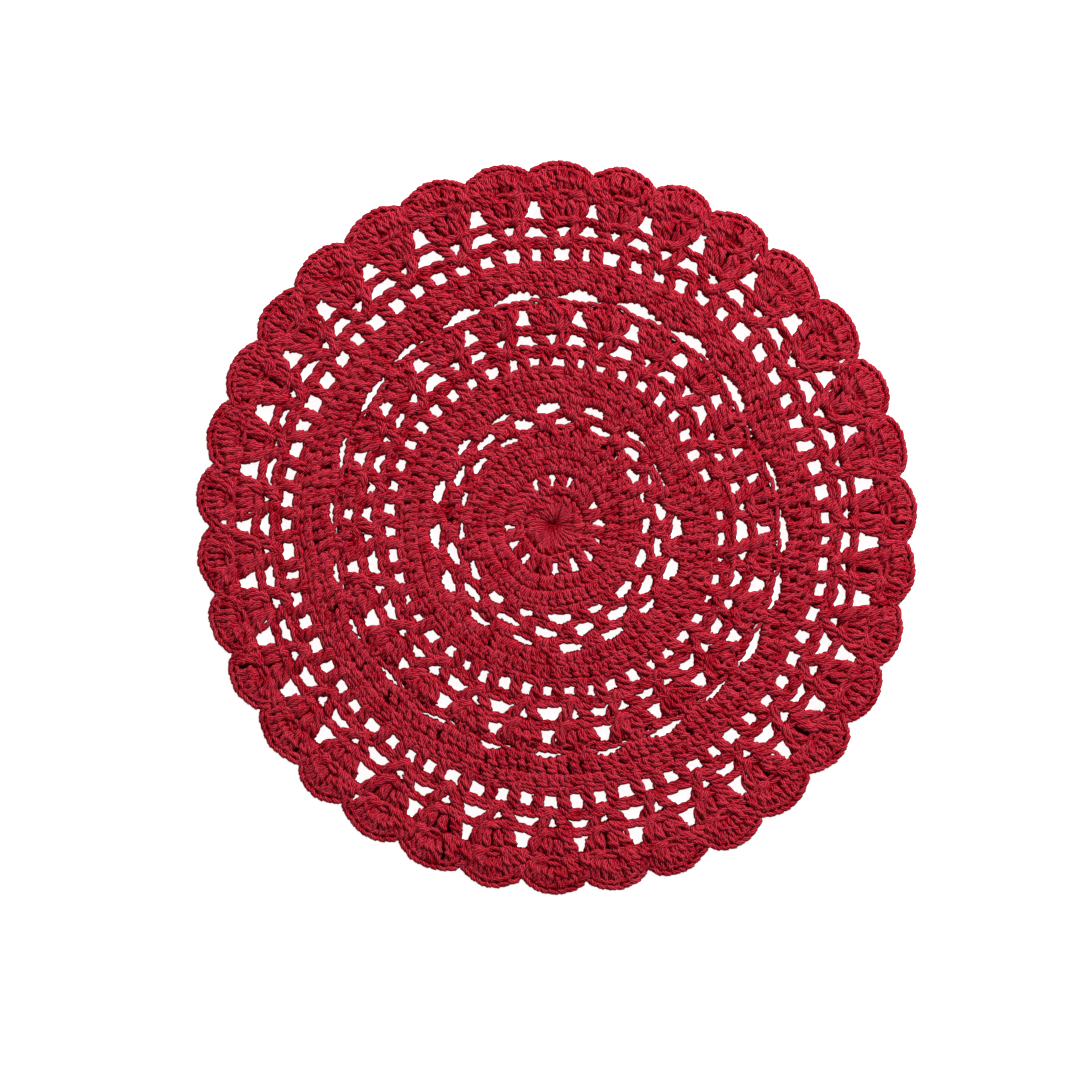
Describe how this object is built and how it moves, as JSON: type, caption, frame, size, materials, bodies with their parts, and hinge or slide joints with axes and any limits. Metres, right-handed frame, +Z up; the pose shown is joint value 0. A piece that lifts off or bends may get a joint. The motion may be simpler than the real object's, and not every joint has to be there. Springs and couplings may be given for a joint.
{
  "type": "crochet placemat",
  "caption": "Round red crochet placemat: one flat sheet of yarn lace with close-worked bands, rounds of open mesh and arches, and a scalloped rim.",
  "frame": {"origin": "centre of the underside, on the table under the worked eye of the mat", "axes": "+Z up out of the mat's face; +Y towards the far side of the table; +X to the right"},
  "size_m": [0.3724, 0.3792, 0.0035],
  "materials": {
    "yarn": "matt plied cotton yarn, crimson red"
  },
  "bodies": {
    "root": {"crochet_mat": "yarn"}
  },
  "joints": []
}
